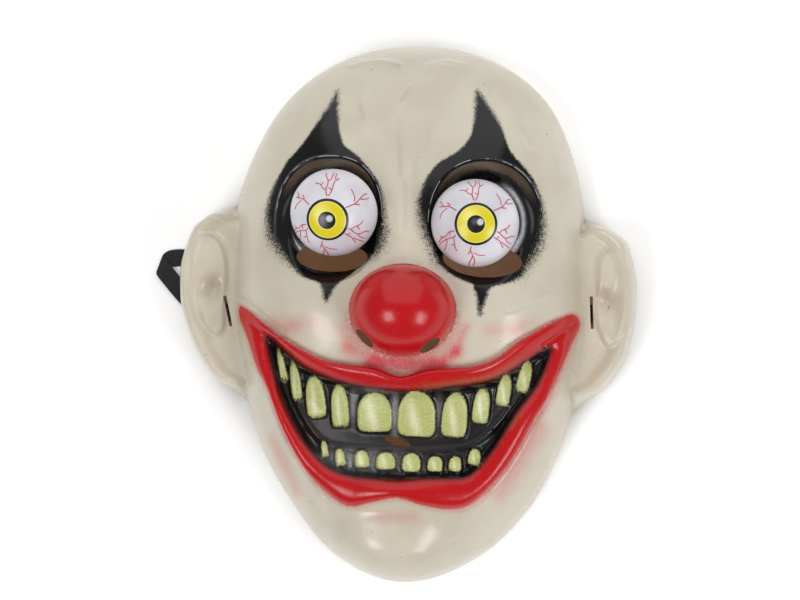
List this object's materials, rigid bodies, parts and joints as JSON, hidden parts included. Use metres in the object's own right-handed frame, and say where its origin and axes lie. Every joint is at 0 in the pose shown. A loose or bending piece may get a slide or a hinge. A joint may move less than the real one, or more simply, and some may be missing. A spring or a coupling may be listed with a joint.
{
  "type": "clown mask",
  "caption": "Rigid grinning clown half mask with round nose, relief teeth, formed ears, bulging eyeballs over peep holes and an elastic strap.",
  "frame": {"origin": "middle of the mask in the plane of its rim, without the strap", "axes": "+X to the viewer's right, +Y towards the crown, +Z out of the face"},
  "size_m": [0.2344, 0.2606, 0.087],
  "materials": {
    "painted_sheet": "glossy skin-coloured sheet, airbrushed red and black",
    "eyeball": "satin white with a printed iris and veins",
    "post": "plain",
    "elastic": "woven, finely ribbed"
  },
  "bodies": {
    "root": {"mask_shell": "painted_sheet", "eyeball_left": "eyeball", "eyeball_right": "eyeball", "eye_post_left": "post", "eye_post_right": "post", "strap": "elastic"}
  },
  "joints": []
}
